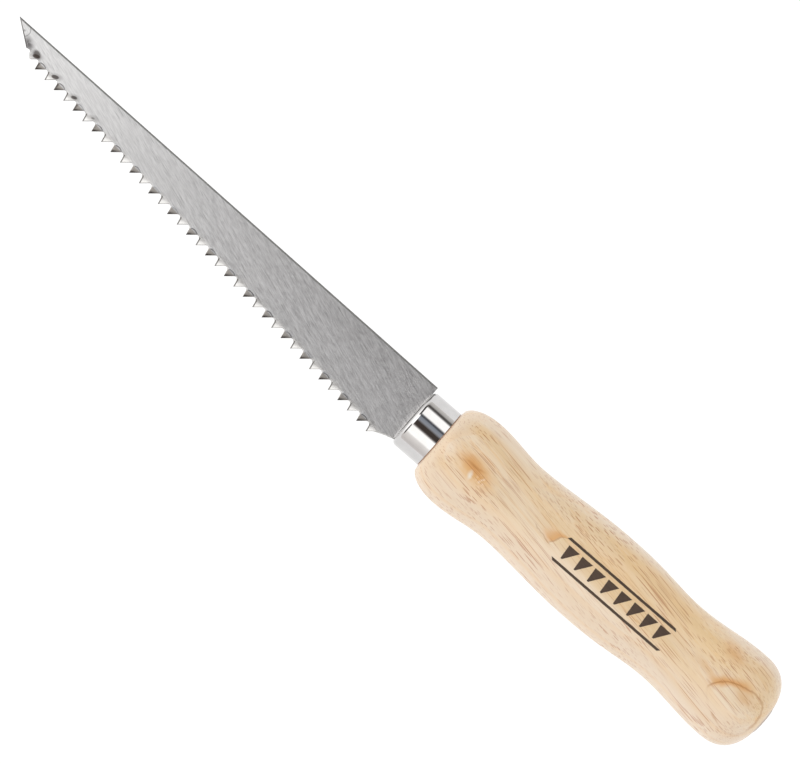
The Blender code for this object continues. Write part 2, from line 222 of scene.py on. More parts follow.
class Shade:
    """A material being made. Its methods add one node each and give back the node's output."""

    def __init__(self, name):
        self.mat = bpy.data.materials.new(name)
        self.mat.use_nodes = True
        self.tree = self.mat.node_tree
        self.shader = self.tree.nodes["Principled BSDF"]

    @classmethod
    def of_world(cls, name):
        """The same for the scene's world."""
        world = bpy.data.worlds.new(name)
        bpy.context.scene.world = world
        world.use_nodes = True
        made = cls.__new__(cls)
        made.tree = world.node_tree
        made.tree.nodes.clear()
        return made

    def feed(self, socket, value):
        if isinstance(value, bpy.types.NodeSocket):
            self.tree.links.new(value, socket)
        else:
            socket.default_value = value

    def set(self, **inputs):
        """Sets the shader's inputs by name, with _ for each space."""
        for name, value in inputs.items():
            self.feed(self.shader.inputs[name.replace("_", " ")], value)

    def add(self, kind, inputs, **settings):
        node = self.tree.nodes.new(kind)
        for name, value in settings.items():
            setattr(node, name, value)
        for name, value in inputs.items():
            self.feed(node.inputs[name], value)
        return node

    def place(self, turn=0.0, stretch=(1.0, 1.0, 1.0), shift=(0.0, 0.0, 0.0)):
        """A point's place in mm, turned about Z, then divided by stretch."""
        where = self.add("ShaderNodeTexCoord", {}).outputs["Object"]
        turned = self.add(
            "ShaderNodeMapping", {"Vector": where, "Rotation": (0, 0, turn), "Scale": (1 / MM,) * 3}
        ).outputs[0]
        scale = tuple(1 / size for size in stretch)
        return self.add(
            "ShaderNodeMapping", {"Vector": turned, "Location": shift, "Scale": scale}
        ).outputs[0]

    def attribute(self, name):
        """A number that the mesh holds at its vertices."""
        return self.add("ShaderNodeAttribute", {}, attribute_name=name).outputs["Fac"]

    def blot(self, where, centre, size, turn=0.0):
        """1 in the middle of an ellipse in the XY plane, falling to 0 at its rim."""
        local = self.add(
            "ShaderNodeMapping",
            {"Vector": where, "Location": (*centre, 0), "Rotation": (0, 0, turn), "Scale": (*size, 1)},
            vector_type="TEXTURE",
        ).outputs[0]
        x, y, _ = self.split(local)
        return self.span(self.length(x, y), 1.0, 0.0)

    def length(self, x, y):
        return self.math("SQRT", self.plus(self.times(x, x), self.times(y, y)))

    def math(self, operation, a, b=0.0, c=0.0):
        return self.add("ShaderNodeMath", {0: a, 1: b, 2: c}, operation=operation).outputs[0]

    def vector(self, operation, a, b):
        return self.add("ShaderNodeVectorMath", {0: a, 1: b}, operation=operation).outputs[0]

    def split(self, where):
        return self.add("ShaderNodeSeparateXYZ", {"Vector": where}).outputs

    def past(self, where, point, way):
        """How far a place lies past a point of the XY plane, along a unit vector there."""
        reach = self.add("ShaderNodeVectorMath", {0: where, 1: (*way, 0)}, operation="DOT_PRODUCT")
        return self.minus(reach.outputs["Value"], way.dot(point))

    def times(self, first, *others):
        """The product of two or more numbers."""
        for other in others:
            first = self.math("MULTIPLY", first, other)
        return first

    def plus(self, a, b):
        return self.math("ADD", a, b)

    def minus(self, a, b):
        return self.math("SUBTRACT", a, b)

    def larger(self, a, b):
        return self.math("MAXIMUM", a, b)

    def scaled(self, value, factor, offset):
        """value * factor + offset."""
        return self.math("MULTIPLY_ADD", value, factor, offset)

    def stripe(self, value, middle, full, none):
        """1 where value is within full of the middle, 0 where it is more than none away."""
        away = self.math("ABSOLUTE", self.minus(value, middle))
        return self.span(away, none, full)

    def join(self, x, y, z):
        return self.add("ShaderNodeCombineXYZ", {"X": x, "Y": y, "Z": z}).outputs[0]

    def cloud(self, where, detail=2.0, roughness=0.5):
        """Smooth noise, about 0.5 on average."""
        return self.add(
            "ShaderNodeTexNoise",
            {"Vector": where, "Scale": 1.0, "Detail": detail, "Roughness": roughness},
        ).outputs["Fac"]

    def cells(self, where):
        """Distance to the nearest of scattered points, and that point's own colour."""
        node = self.add("ShaderNodeTexVoronoi", {"Vector": where, "Scale": 1.0})
        return node.outputs["Distance"], node.outputs["Color"]

    def span(self, value, low, high, start=0.0, end=1.0):
        """Runs smoothly from start, where value is at low, to end, where it is at high."""
        return self.add(
            "ShaderNodeMapRange",
            {"Value": value, "From Min": low, "From Max": high, "To Min": start, "To Max": end},
            interpolation_type="SMOOTHSTEP",
        ).outputs[0]

    def hump(self, value, foot, top, end_top, end_foot):
        """0 at foot, 1 from top to end_top, and 0 again at end_foot."""
        return self.times(self.span(value, foot, top), self.span(value, end_foot, end_top))

    def mix(self, share, low, high, blend="MIX"):
        """low where share is 0, high where it is 1. Both are sockets or (red, green, blue)."""
        node = self.add("ShaderNodeMix", {}, data_type="RGBA", blend_type=blend)
        self.feed(node.inputs[0], share)
        for index, value in ((MIX_LOW, low), (MIX_HIGH, high)):
            if not isinstance(value, bpy.types.NodeSocket):
                value = (*value, 1.0)
            self.feed(node.inputs[index], value)
        return node.outputs[MIX_RESULT]

    def tint(self, colour, amount, share, tone):
        """The colour, with a share of a tone (as for linear) where the amount is 1."""
        return self.mix(self.times(amount, share), colour, linear(*tone))

    def bump(self, height, depth, strength):
        """Bump from a height of 0 to 1 that stands for depth in metres."""
        inputs = {"Height": height, "Distance": depth, "Strength": strength}
        return self.add("ShaderNodeBump", inputs).outputs[0]


def linear(red, green, blue):
    """A colour as a screen shows it, 0 to 255, as the linear one that a shader takes."""

    def one(value):
        share = value / 255
        return share / 12.92 if share <= 0.04045 else ((share + 0.055) / 1.055) ** 2.4

    return one(red), one(green), one(blue)


# Steel

GRIND_TURN = math.radians(19)  # the grinding marks lean this much from the blade's length
EDGE_SHARE = "edge_share"  # 1 on the cut edges of the blade, 0 on its faces
SET_SHARE = "set_share"  # 1 on a tooth bent up, -1 on one bent down
BLADE_TONE = (0.81, 0.804, 0.798)
PIN_TONE = (0.55, 0.55, 0.56)

# Marks on the blade, in mm
# where the painted shade behind a lowered tooth sits, and its size and turn
BEND_SHADE_AT = (-1.5, -2.7)  # from the tip of a tooth bent down, along the teeth and out
BEND_SHADE_HALF = (1.4, 0.72)  # half length and half width
BEND_SHADE_TURN = math.radians(30)
TIP_SHADE_RING = (136.2, -10.0)  # the middle of the ring of painted shade round a ground facet at the point
TIP_SPOT = (136.0, -9.9)
TIP_SMUDGE = (132.8, -7.9)
# painted shade behind the stub, which is bent down at the point
TIP_STUB_SHADE = (129.1, -7.2)
BACK_SHADE_MIDDLE = (-6.0, -11.0)  # the middle of the stretch along the back that is painted darker as shade


def brushed_steel(name, tone, roughness, toothed=False):
    """Ground steel. A toothed blade has duller cut edges, bent teeth and marks at its point, with
    painted reflection and shade on the teeth and in some of the marks.
    """
    shade = Shade(name)
    fine = shade.cloud(shade.place(GRIND_TURN, (2.6, 0.24, 0.24)), 2.0, 0.6)
    thin = shade.cloud(shade.place(GRIND_TURN, (5.0, 0.34, 0.34), (3.0, 5.0, 0.0)), 2.0, 0.55)
    coarse = shade.cloud(shade.place(GRIND_TURN, (16.0, 1.6, 1.6)), 2.0)
    mottle = shade.cloud(shade.place(0.0, (1.3, 1.0, 1.0)), 2.0, 0.6)
    light = shade.scaled(shade.span(fine, 0.3, 0.7), 0.14, 0.85)
    light = shade.scaled(shade.span(coarse, 0.3, 0.7), 0.02, light)
    light = shade.scaled(shade.span(mottle, 0.3, 0.7), 0.02, light)
    light = shade.minus(light, shade.span(thin, 0.30, 0.42, 0.16, 0.0))
    colour = shade.mix(1.0, tone, shade.join(light, light, light), "MULTIPLY")
    rough = shade.scaled(shade.span(mottle, 0.25, 0.75), 0.03, roughness - 0.03)
    rough = shade.scaled(shade.span(fine, 0.3, 0.7), 0.05, rough)
    if toothed:
        teeth = Teeth(shade)
        for part in (raised_teeth, lowered_teeth, painted_bend_shade):
            colour = part(shade, colour, teeth)
        edge = shade.attribute(EDGE_SHARE)
        colour = shade.tint(colour, edge, 0.75, (112, 109, 107))
        colour = point_tones(shade, colour, mottle)
        rough = shade.scaled(edge, 0.15, rough)
    shade.set(Base_Color=colour, Metallic=1.0, Roughness=rough)
    marks = shade.scaled(thin, 0.5, fine)
    shade.set(Normal=shade.bump(marks, 0.003 * MM, 0.5))
    return shade.mat


class Teeth:
    """The teeth as a material sees them: places in mm along and out from the line of tips."""

    def __init__(self, shade):
        where = shade.place()
        self.shade = shade
        self.at = shade.past(where, LAST_TIP / MM, TEETH_ALONG)
        self.height = shade.past(where, LAST_TIP / MM, TEETH_OUT)
        self.bent = shade.attribute(SET_SHARE)
        self.above_root = shade.span(self.height, -2.5, -2.2)
        self.end = (TOOTH_COUNT - 1) * TOOTH_PITCH / MM
        self.inside = shade.hump(self.at, -2.4, -2.0, self.end - 0.2, self.end + 0.4)

    def from_tip(self, first):
        """Distance from the nearest of every second tip. One of them lies at first."""
        pitch = TOOTH_PITCH / MM
        turned = self.shade.math("WRAP", self.shade.plus(self.at, pitch - first), 2 * pitch, 0.0)
        return self.shade.minus(turned, pitch)

    def from_slack(self, near):
        """Depth inside a tooth's flank on the heel side."""
        part = self.shade.times(near, math.sin(SLACK_FLANK))
        return self.shade.scaled(self.height, -math.cos(SLACK_FLANK), part)

    def from_steep(self, near):
        """Depth inside a tooth's flank on the point side."""
        part = self.shade.times(near, -math.sin(STEEP_FLANK))
        return self.shade.scaled(self.height, -math.cos(STEEP_FLANK), part)


def raised_teeth(shade, colour, teeth):
    """Teeth bent up: face and flanks painted darker as reflection and shade, with painted shade in a
    crease at their root.
    """
    near = teeth.from_tip(TOOTH_PITCH / MM)
    up = shade.span(teeth.bent, 0.02, 0.2)
    # the grey of a raised tooth's face is a painted reflection
    colour = shade.mix(up, colour, linear(190, 183, 175))
    # painted shade on the flanks and tips of the raised teeth
    painted_flank_shade = shade.span(teeth.from_slack(near), 1.0, 0.12)
    painted_flank_shade = shade.times(painted_flank_shade, shade.span(teeth.height, -2.3, -0.6, 0.1, 1.0))
    towards_point = shade.span(teeth.at, 98.0, 124.0)
    lead = shade.span(teeth.from_steep(near), 0.9, 0.1)
    lead = shade.times(lead, towards_point, teeth.above_root, 0.8)
    painted_flank_shade = shade.larger(shade.larger(painted_flank_shade, lead), shade.span(teeth.bent, 0.50, 0.90))
    colour = shade.mix(shade.times(painted_flank_shade, up, 0.96), colour, linear(48, 36, 29))
    # painted shade along the crease where each raised tooth starts to bend
    bow = shade.plus(near, 0.8)
    bow = shade.scaled(shade.times(bow, bow), -0.22, teeth.height)
    painted_crease_shade = shade.times(shade.stripe(bow, -2.62, 0.04, 0.24), shade.stripe(near, -0.8, 0.9, 1.35))
    own = shade.cloud(shade.place(0.0, (5.0, 5.0, 5.0), (2.0, 7.0, 0.0)), 1.0)
    painted_crease_shade = shade.times(painted_crease_shade, teeth.inside, shade.span(own, 0.3, 0.6, 0.25, 0.8))
    return shade.mix(painted_crease_shade, colour, linear(84, 78, 74))


def lowered_teeth(shade, colour, teeth):
    """Teeth bent down: pale as a painted reflection, with a grey outline of painted shade along their
    flanks.
    """
    near = teeth.from_tip(0.0)
    slack = teeth.from_slack(near)
    steep = teeth.from_steep(near)
    # painted reflection: paler towards the tooth's edge, greyer towards its root
    light = shade.mix(shade.span(slack, 1.9, 0.4), linear(180, 179, 178), linear(234, 233, 232))
    colour = shade.mix(shade.span(teeth.bent, -0.01, -0.20), colour, light)
    full = shade.span(teeth.at, teeth.end - 1.6, teeth.end - 2.0)
    sunk = shade.times(shade.span(teeth.bent, -0.01, -0.06), teeth.above_root, full)
    # painted shade along both flanks of a lowered tooth
    line = shade.times(shade.hump(steep, 0.42, 0.22, -0.2, -0.4), sunk)
    thin = shade.times(shade.hump(slack, 0.22, 0.08, -0.2, -0.4), sunk)
    line = shade.larger(line, shade.times(thin, 0.4))
    return shade.tint(colour, line, 0.9, (98, 94, 90))


def painted_bend_shade(shade, colour, teeth):
    """Painted shade behind each tooth bent down, where its bend curves the blade. Towards the heel it
    fades away.
    """
    u = shade.minus(teeth.from_tip(0.0), BEND_SHADE_AT[0])
    v = shade.minus(teeth.height, BEND_SHADE_AT[1])
    half_long, half_wide = BEND_SHADE_HALF
    cos, sin = math.cos(BEND_SHADE_TURN), math.sin(BEND_SHADE_TURN)
    long = shade.scaled(u, cos / half_long, shade.times(v, sin / half_long))
    wide = shade.scaled(v, cos / half_wide, shade.times(u, -sin / half_wide))
    away = shade.plus(shade.times(long, long), shade.times(wide, wide))
    away = shade.plus(away, shade.span(teeth.at, 128.0, 104.0, 0.0, 0.75))
    bend_shade = shade.larger(shade.span(away, 1.0, 0.3), shade.span(away, 3.2, 0.5, 0.0, 0.3))
    bend_shade = shade.times(bend_shade, teeth.inside, shade.span(teeth.at, 97.0, 112.0))
    return shade.tint(colour, bend_shade, 0.88, (64, 56, 52))


def point_tones(shade, colour, mottle):
    """Lines along the back and the sharpened front of the point, and the marks at the tip. The ring
    round the tip's facet, the patch behind the stub and the darker stretch along the back are painted
    shade.
    """
    where = shade.place()
    tip = Vector((TIP_X, TIP_Y)) / MM
    heel_back = Vector((HEEL_X, HEEL_BACK_Y)) / MM
    back = (tip - heel_back).normalized()
    from_back = shade.past(where, tip, Vector((-back.y, back.x)))
    line = shade.span(from_back, 0.60, 0.40)
    colour = shade.tint(colour, line, 0.62, (112, 111, 111))
    from_front = shade.past(where, tip, Vector((-math.sin(POINT_ANGLE), -math.cos(POINT_ANGLE))))
    ahead = shade.past(where, tip, Vector((1, 0)))
    near = shade.times(shade.span(from_front, 0.42, 0.16), shade.span(ahead, -7.3, -7.0))
    near = shade.times(near, shade.span(ahead, -2.0, -5.0, 0.5, 0.9))
    colour = shade.mix(near, colour, linear(84, 82, 81))
    # painted shade along the edge of a ground facet at the tip
    round_tip = shade.blot(where, TIP_SHADE_RING, (3.6, 3.6))
    ring = shade.times(shade.stripe(round_tip, 0.5, 0.03, 0.09), shade.span(ahead, -2.6, -3.6))
    colour = shade.tint(colour, ring, 0.5, (118, 117, 117))
    spot = shade.span(shade.blot(where, TIP_SPOT, (0.6, 0.5)), 0.1, 0.7)
    colour = shade.tint(colour, spot, 0.5, (110, 108, 108))
    smudge = shade.blot(where, TIP_SMUDGE, (3.6, 2.0), -0.46)
    smudge = shade.times(smudge, shade.span(mottle, 0.30, 0.55, 0.5, 1.0))
    colour = shade.tint(colour, smudge, 0.9, (86, 82, 82))
    # painted shade behind the stub
    stub_shade = shade.span(shade.blot(where, TIP_STUB_SHADE, (2.2, 1.5), -0.35), 0.05, 0.7)
    colour = shade.tint(colour, stub_shade, 0.8, (70, 62, 58))
    # painted shade: the blade darker towards the heel along its back
    back_shade = shade.blot(where, BACK_SHADE_MIDDLE, (95.0, 15.0), math.atan2(back.y, back.x))
    return shade.tint(colour, back_shade, 0.16, (98, 92, 88))


# Blade


def along_teeth(distance, height):
    """A point by its distance from the last tip towards the point, and height over the tip line."""
    return LAST_TIP + TEETH_ALONG * distance + TEETH_OUT * height


def gullet_shape():
    """Where a gullet's arc has its centre, from the tip behind it, and its lowest height."""
    depth = TOOTH_PITCH / (1 / math.tan(STEEP_FLANK) + 1 / math.tan(SLACK_FLANK))
    ahead = depth / math.tan(STEEP_FLANK)
    opening = math.pi - STEEP_FLANK - SLACK_FLANK
    lean = (STEEP_FLANK - SLACK_FLANK) / 2
    reach = GULLET_RADIUS / math.sin(opening / 2)
    centre = Vector((ahead + reach * math.sin(lean), -depth + reach * math.cos(lean)))
    return centre, centre.y - GULLET_RADIUS


def teeth_arc(centre, radius, start, end):
    """Points on an arc that is given in the teeth's own distance and height."""
    points = []
    for step in range(GULLET_STEPS + 1):
        turn = between(start, end, step / GULLET_STEPS)
        points.append(along_teeth(*(centre + Vector((math.cos(turn), math.sin(turn))) * radius)))
    return points


def gullet(index):
    """The rounded gullet ahead of a tooth."""
    centre, _ = gullet_shape()
    centre.x += index * TOOTH_PITCH
    return teeth_arc(centre, GULLET_RADIUS, 1.5 * math.pi - STEEP_FLANK, 1.5 * math.pi + SLACK_FLANK)


def parted(start, end, steps):
    """Points between two points, without the first one."""
    return [between(start, end, step / steps) for step in range(1, steps + 1)]


def toothed_edge():
    """The edge from the heel to the corner where the sharpened point starts."""
    foot = along_teeth(-LAST_BACK, -LAST_BACK * math.tan(SLACK_FLANK))
    heel = Vector((HEEL_X, HEEL_FRONT_Y))
    ramp = heel + (foot - heel) * RAMP_BREAK - Vector((0, RAMP_HOLLOW))
    edge = [heel] + parted(heel, ramp, 5) + parted(ramp, foot, 5)
    for index in range(TOOTH_COUNT - 1):
        ahead = gullet(index)
        edge += parted(edge[-1], along_teeth(index * TOOTH_PITCH, 0.0), FLANK_STEPS)
        edge += parted(edge[-1], ahead[0], FLANK_STEPS) + ahead[1:]
    last = Vector(((TOOTH_COUNT - 1) * TOOTH_PITCH, 0))
    stub = teeth_arc(last + STUB_CENTRE, STUB_ROUND, math.pi / 2 + SLACK_FLANK, math.radians(20))
    notch = teeth_arc(last + NOTCH_CENTRE, NOTCH_RADIUS, math.radians(190), math.radians(300))
    edge += parted(edge[-1], stub[0], FLANK_STEPS) + stub[1:]
    edge += parted(edge[-1], notch[0], FLANK_STEPS) + notch[1:]
    rise = POINT_LENGTH * math.tan(POINT_ANGLE)
    corner = Vector((TIP_X - POINT_LENGTH, TIP_Y + rise))
    edge += parted(edge[-1], corner, 3)
    return edge


def inset(points, width, before, after):
    """Moves an open outline in by width. Its inside is on the right of its run."""
    moved = []
    for index, point in enumerate(points):
        come = (point - points[index - 1]).normalized() if index else before
        go = (points[index + 1] - point).normalized() if index + 1 < len(points) else after
        first, second = Vector((come.y, -come.x)), Vector((go.y, -go.x))
        shift = (first + second) / max(1 + first.dot(second), 0.45)
        moved.append(point + shift * width)
    return moved


def tooth_frame(point):
    """The index of the tooth at a point, the share from the middle of that tooth to the gullet
    ahead of it (+1) or behind it (-1), and the height over the gullets' lowest points."""
    away = point - LAST_TIP
    centre, lowest = gullet_shape()
    from_gullet = (away.dot(TEETH_ALONG) - centre.x) / TOOTH_PITCH
    index = math.ceil(from_gullet)
    return index, 2 * (from_gullet - index) + 1, away.dot(TEETH_OUT) - lowest


def tooth_side(index):
    """+1 for a tooth bent up, -1 for one bent down, 0 where there is no bent tooth."""
    if index < 0 or index > TOOTH_COUNT - 1:
        return 0.0
    side = -((-1) ** index)
    return side * STUB_SET if index == TOOTH_COUNT - 1 else side


def tooth_bend(point):
    """How far the blade is bent up or down there: every other tooth to either side."""
    index, across, height = tooth_frame(point)
    reach = height + BEND_MARGIN
    if reach <= 0:
        return 0.0
    full = BEND_MARGIN - gullet_shape()[1]
    rise = (reach**2 / (reach + BEND_ROUND)) / (full**2 / (full + BEND_ROUND))
    spread = min(1.0, 1.5 * math.cos(math.pi / 2 * across))
    return tooth_side(index) * TOOTH_SET * rise * spread


def back_at(x):
    share = (x - HEEL_X) / (TIP_X - HEEL_X)
    return HEEL_BACK_Y + (TIP_Y - HEEL_BACK_Y) * share


def blade_columns():
    """The blade's columns, from heel to tip. Each is (outer back, inner back, inner front,
    outer front), where inner points bound the flat face and outer points the blade."""
    edge = toothed_edge()
    heel_way, point_way = Vector((0, 1)), Vector((math.cos(POINT_ANGLE), -math.sin(POINT_ANGLE)))
    inner = inset(edge, EDGE_ROUND, heel_way, point_way)
    corner = edge[-1]
    tip = Vector((TIP_X, TIP_Y))
    back_way = (Vector((HEEL_X, HEEL_BACK_Y)) - tip).normalized()
    back_in = Vector((back_way.y, -back_way.x)) * BACK_BEVEL.x
    front_in = Vector((point_way.y, -point_way.x)) * POINT_BEVEL.x
    half = math.acos(max(-1.0, min(1.0, -point_way.dot(back_way)))) / 2
    bisector = (back_way - point_way).normalized()
    tip_in = tip + bisector * (BACK_BEVEL.x / math.sin(half))

    columns = []
    for outer_front, inner_front in zip(edge, inner):
        x = inner_front.x if outer_front is not edge[0] else HEEL_X + EDGE_ROUND
        outer_back = Vector((outer_front.x, back_at(outer_front.x)))
        inner_back = Vector((x, back_at(x))) + back_in
        columns.append((outer_back, inner_back, inner_front, outer_front))
    last_back, last_front = columns[-1][1], corner + front_in
    columns[-1] = (columns[-1][0], last_back, last_front, corner)
    for step in range(1, POINT_STEPS + 1):
        share = step / POINT_STEPS
        outer_front = between(corner, tip, share)
        outer_back = Vector((outer_front.x, back_at(outer_front.x)))
        columns.append((
            outer_back,
            between(last_back, tip_in, share),
            between(last_front, tip_in, share),
            outer_front,
        ))
    return columns, len(edge) - 1


def blade_rows(inner_back, inner_front):
    """The points of one column of the flat face. They crowd into the teeth."""
    _, lowest = gullet_shape()
    height = (inner_front - LAST_TIP).dot(TEETH_OUT) - lowest + ROOT_MARGIN
    reach = inner_front.y - inner_back.y
    share = 1 - max(height, 0.25 * reach) / reach if reach > 0 else 0.75
    share = max(0.2, share)
    root = between(inner_back, inner_front, share)
    rows = [between(inner_back, root, part) for part in FLAT_ROWS]
    return rows + [between(root, inner_front, part) for part in TOOTH_ROWS]


def blade_plate(mat):
    columns, corner_at = blade_columns()
    bm = bmesh.new()
    edge_layer = bm.verts.layers.float.new(EDGE_SHARE)
    set_layer = bm.verts.layers.float.new(SET_SHARE)

    def vert(point, height, edge=0.0):
        bend = tooth_bend(point)
        made = bm.verts.new((point.x, point.y, AXIS_Z + height + bend))
        made[edge_layer] = edge
        made[set_layer] = bend / TOOTH_SET
        return made

    grids = {}
    for side in (1, -1):
        grids[side] = [
            [vert(point, side * BLADE_HALF) for point in blade_rows(column[1], column[2])]
            for column in columns
        ]
        for column in grids[side][:corner_at]:
            column[-1][edge_layer] = RIM_DULLNESS
        for near, far in zip(grids[side], grids[side][1:]):
            for row in range(len(near) - 1):
                bm.faces.new((near[row], far[row], far[row + 1], near[row + 1]))

    # Round the rim: column, row, inner point, outer point, depth and its share near the outside
    last = len(columns) - 1
    top = len(FLAT_ROWS) + len(TOOTH_ROWS) - 1
    broken, point_bevel = (EDGE_ROUND, ROUND_SHARE), (POINT_BEVEL.y, BEVEL_SHARE)
    rim = []
    for at, (_, _, inner, outer) in enumerate(columns):
        rim.append((at, top, inner, outer, *(broken if at < corner_at else point_bevel)))
    for at in range(last - 1, -1, -1):
        outer, inner = columns[at][:2]
        rim.append((at, 0, inner, outer, BACK_BEVEL.y, BEVEL_SHARE))
    heel_rows = blade_rows(columns[0][1], columns[0][2])
    for row in range(1, top):
        inner = heel_rows[row]
        rim.append((0, row, inner, Vector((HEEL_X, inner.y)), *broken))

    rings = []
    for at, row, inner, outer, depth, share in rim:
        middle = between(inner, outer, RIM_MIDDLE)
        ring = [grids[1][at][row]]
        ring += [vert(middle, BLADE_HALF - depth * share, 1.0), vert(outer, BLADE_HALF - depth, 1.0)]
        ring += [vert(outer, depth - BLADE_HALF, 1.0), vert(middle, depth * share - BLADE_HALF, 1.0)]
        ring.append(grids[-1][at][row])
        rings.append(ring)
    for ring, after in zip(rings, rings[1:] + rings[:1]):
        for step in range(len(ring) - 1):
            bm.faces.new((ring[step], ring[step + 1], after[step + 1], after[step]))
    return piece_from(bm, "blade_plate", mat)


def tang_outline():
    """The tang from the heel's tooth side round to its back side, with its barbs."""
    end_x = FERRULE_HIGH.x - TANG_LENGTH
    half = TANG_WIDTH / 2

    def half_at(x):
        return half * (1 - (1 - TANG_TAPER) * (HEEL_X - x) / (HEEL_X - end_x))

    side = [(HEEL_X, half)]
    for index in range(BARB_COUNT):
        x = HEEL_X - BARB_START - index * BARB_PITCH
        side += [(x + BARB_RUN, half_at(x)), (x, half_at(x) - BARB_DEPTH), (x, half_at(x))]
    side += [(end_x + half / 2, half_at(end_x)), (end_x, half_at(end_x) / 2)]
    return [Vector((x, y)) for x, y in side] + [Vector((x, -y)) for x, y in reversed(side)]


def blade_tang(mat):
    bm = bmesh.new()
    upper, lower = [], []
    for point in tang_outline():
        upper.append(bm.verts.new((point.x, point.y, AXIS_Z + BLADE_HALF)))
        lower.append(bm.verts.new((point.x, point.y, AXIS_Z - BLADE_HALF)))
    bm.faces.new(upper)
    bm.faces.new(lower)
    for index in range(len(upper)):
        after = (index + 1) % len(upper)
        bm.faces.new((upper[index], upper[after], lower[after], lower[index]))
    tang = piece_from(bm, "blade_tang", mat)
    cut(tang, rod_mesh(PIN_HOLE_RADIUS, HANDLE_LOW.z, HANDLE_HIGH.z, PIN_X))
    edge = tang.modifiers.new("edge", "BEVEL")
    edge.width = 0.1 * MM
    edge.segments = 2
    edge.limit_method = "ANGLE"
    apply_modifiers(tang)
    return tang


# Turned pieces


def turned(profile, sides, squash, closed):
    """Turns (x, radius) points about the saw's axis. squash gives the depth over width at x.
    An open profile ends on flat discs."""
    bm = bmesh.new()
    rings = []
    for x, radius in profile:
        ring = []
        for step in range(sides):
            turn = 2 * math.pi * step / sides
            y = radius * math.cos(turn)
            z = radius * math.sin(turn) * squash(x)
            ring.append(bm.verts.new((x, y, AXIS_Z + z)))
        rings.append(ring)
    pairs = list(zip(rings, rings[1:]))
    if closed:
        pairs.append((rings[-1], rings[0]))
    else:
        bm.faces.new(rings[0])
        bm.faces.new(rings[-1])
    for near, far in pairs:
        for step in range(sides):
            after = (step + 1) % sides
            bm.faces.new((near[step], near[after], far[after], far[step]))
    return bm


def arc(centre_x, centre_r, radius, start, end, steps):
    """Profile points on an arc. Angles are in degrees from the +X way towards the outside."""
    points = []
    for step in range(steps + 1):
        turn = math.radians(start + (end - start) * step / steps)
        points.append((centre_x + radius * math.cos(turn), centre_r + radius * math.sin(turn)))
    return points


def chrome(name):
    """Chrome plate, with a dark line of painted shade where the blade enters."""
    shade = Shade(name)
    wipe = shade.cloud(shade.place(1.2, (3.0, 0.5, 3.0)), 3.0, 0.6)
    haze = shade.cloud(shade.place(0.0, (4.0, 4.0, 4.0)), 2.0)
    tone = shade.mix(shade.span(haze, 0.3, 0.7), (0.59, 0.58, 0.575), (0.63, 0.62, 0.615))
    x, y, _ = shade.split(shade.place())
    # painted shade in the gap where the blade enters, reaching further on the back's side
    depth = shade.minus(FERRULE_HIGH.x / MM, x)
    reach = shade.span(y, -4.5, -7.0, 0.16, 0.55)
    joint_shade = shade.span(shade.minus(depth, reach), 0.10, -0.10)
    joint_shade = shade.times(joint_shade, shade.span(depth, 0.005, 0.04))
    tone = shade.mix(shade.times(joint_shade, 0.85), tone, (0.05, 0.045, 0.04))
    shade.set(Base_Color=tone, Metallic=1.0)
    shade.set(Roughness=shade.scaled(shade.span(wipe, 0.3, 0.8), 0.05, 0.05))
    shade.set(Normal=shade.bump(shade.scaled(haze, 2.0, wipe), 0.002 * MM, 0.5))
    return shade.mat


def ferrule_shell(mat):
    rim, wall = FERRULE_RIM_RADIUS, FERRULE_WALL
    front, rear = FERRULE_HIGH.x, SHOULDER_X + 0.04 * MM
    outer, inner = FERRULE_RADIUS, FERRULE_RADIUS - FERRULE_WALL
    lip = 0.12 * MM
    profile = arc(front - rim, outer - rim, rim, 0, 90, 16)
    profile += arc(rear + lip, outer - lip, lip, 90, 180, 4)
    profile += arc(rear + lip, inner + lip, lip, 180, 270, 3)
    profile += arc(front - rim, outer - rim, rim - wall, 90, 0, 8)
    bore = 0.4 * MM
    profile += [(front - wall, bore), (front, bore)]
    shell = piece_from(turned(profile, 192, lambda x: 1.0, closed=True), "ferrule_shell", mat, 35.0)
    half_y, half_z = TANG_WIDTH / 2 + FIT_GAP, BLADE_HALF + FIT_GAP
    over = 1.0 * MM
    cut(shell, block_mesh(
        (front - wall - over, -half_y, AXIS_Z - half_z), (front + over, half_y, AXIS_Z + half_z)
    ))
    return shell


# Handle


def grip_half_width(behind):
    """Half the handle's width at a distance behind its shoulder."""
    first, last = GRIP_STATIONS[0], GRIP_STATIONS[-1]
    length = SHOULDER_X - BUTT_X
    if behind <= first[0]:
        share = 1 - behind / first[0]
        return SHOULDER_RADIUS + (first[1] - SHOULDER_RADIUS) * math.sqrt(1 - share**SHOULDER_POWER)
    if behind >= last[0]:
        share = min(1.0, (behind - last[0]) / (length - last[0]))
        return last[1] * (1 - share**BUTT_POWER) ** (1 / BUTT_POWER)
    for start, end, skew in zip(GRIP_STATIONS, GRIP_STATIONS[1:], GRIP_SKEWS):
        if behind <= end[0]:
            share = ((behind - start[0]) / (end[0] - start[0])) ** skew
            return start[1] + (end[1] - start[1]) * (1 - math.cos(math.pi * share)) / 2
    return last[1]


def grip_squash(x):
    """Depth over width: round at the neck, and the oval's share from the front swell back."""
    behind = min(max(SHOULDER_X - x, 0.0), GRIP_STATIONS[0][0])
    swell = (grip_half_width(behind) - SHOULDER_RADIUS) / (GRIP_HALF - SHOULDER_RADIUS)
    return 1 - (1 - DEPTH_SHARE) * swell


